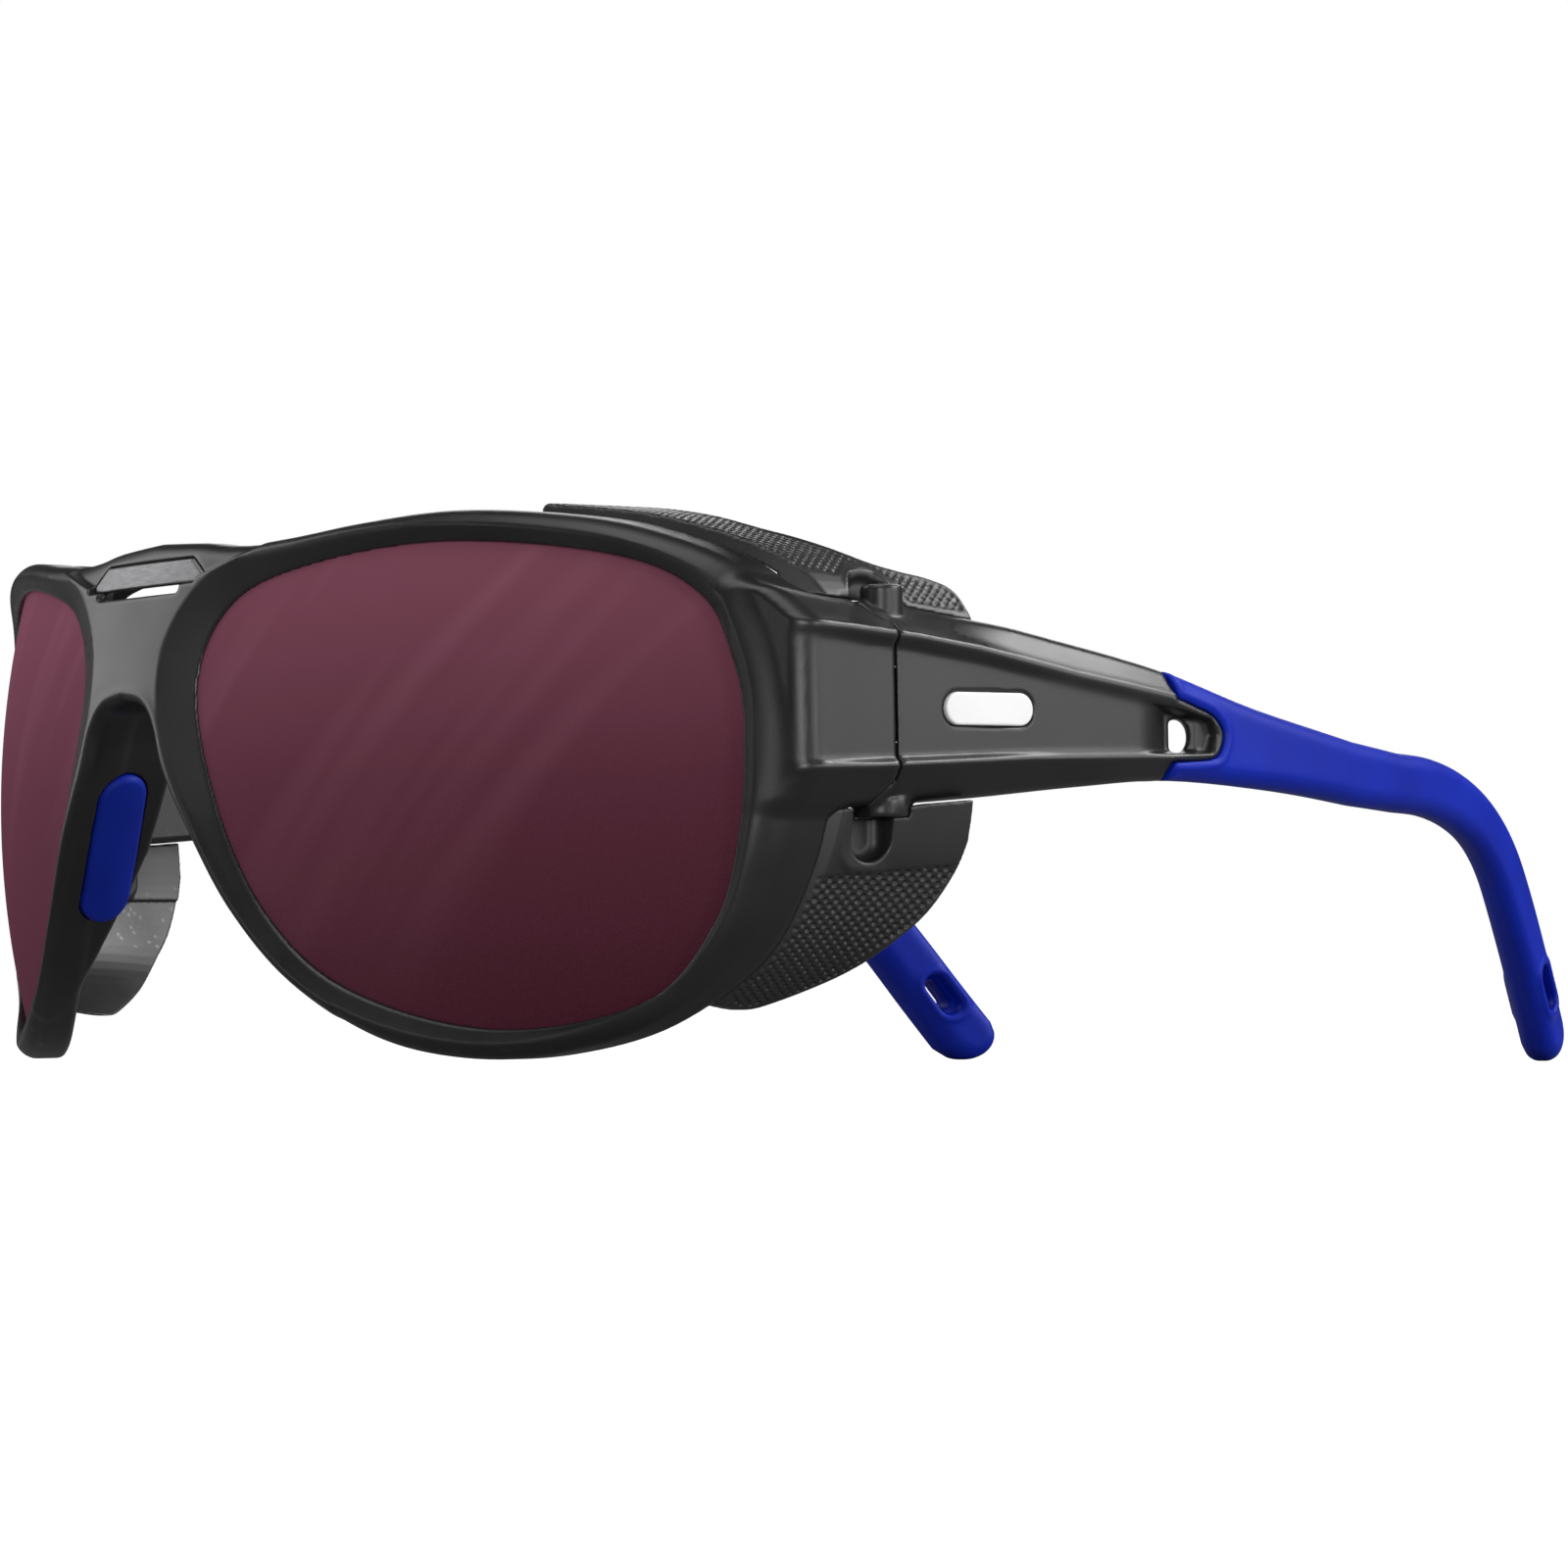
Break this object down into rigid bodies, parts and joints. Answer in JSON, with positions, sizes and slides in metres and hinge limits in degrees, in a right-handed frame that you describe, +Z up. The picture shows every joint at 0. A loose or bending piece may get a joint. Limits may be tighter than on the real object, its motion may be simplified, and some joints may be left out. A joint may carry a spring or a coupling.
{
  "type": "glacier glasses",
  "caption": "Wraparound mountain sunglasses with curved lenses, removable side shields, nose pads and folding arms that end in soft slotted ear sleeves.",
  "frame": {"origin": "centre of the bottom face of the box round the open glasses", "axes": "+X to the wearer's left, -Y the way the wearer looks, +Y along the arms to the ears, +Z up"},
  "size_m": [0.1484, 0.1538, 0.0571],
  "materials": {
    "front_nylon": "fine matte texture, worn slightly shinier on the ridges",
    "badge_plate": "satin, blank plate",
    "lens_tint": "polished, deep rose mirror tint, darker towards the bottom",
    "pad_rubber": "soft matte rubber",
    "arm_nylon": "satin matte",
    "sleeve_rubber": "soft-touch, finely speckled",
    "wire_steel": "annealed wire",
    "screw_steel": "machined",
    "insert_brass": "knurled brass",
    "shield_soft": "soft black plastic with a field of small dimples",
    "inlay_white": "smooth white"
  },
  "bodies": {
    "front": {"front_frame": "front_nylon", "brow_badge": "badge_plate", "left_lens": "lens_tint", "right_lens": "lens_tint", "left_nose_pad": "pad_rubber", "right_nose_pad": "pad_rubber"},
    "left_arm": {"left_temple": "arm_nylon", "left_ear_sleeve": "sleeve_rubber", "left_core_wire": "wire_steel", "left_hinge_screw": "screw_steel", "left_threaded_insert": "insert_brass", "left_temple_inlay": "inlay_white"},
    "right_arm": {"right_temple": "arm_nylon", "right_ear_sleeve": "sleeve_rubber", "right_core_wire": "wire_steel", "right_hinge_screw": "screw_steel", "right_threaded_insert": "insert_brass", "right_temple_inlay": "inlay_white"},
    "left_shield": {"left_side_shield": "shield_soft"},
    "right_shield": {"right_side_shield": "shield_soft"}
  },
  "joints": [
    {"name": "left_arm_fold", "type": "hinge", "parent": "front", "child": "left_arm", "pos_m": [0.0698, -0.03475, 0.0365], "axis": [0, 0, 1], "range_deg": [0, 90]},
    {"name": "right_arm_fold", "type": "hinge", "parent": "front", "child": "right_arm", "pos_m": [-0.0698, -0.03475, 0.0365], "axis": [0, 0, -1], "range_deg": [0, 78]},
    {"name": "left_shield_release", "type": "slide", "parent": "front", "child": "left_shield", "axis": [-1, 0, 0], "range_m": [0, 0.012]},
    {"name": "right_shield_release", "type": "slide", "parent": "front", "child": "right_shield", "axis": [1, 0, 0], "range_m": [0, 0.012]}
  ]
}
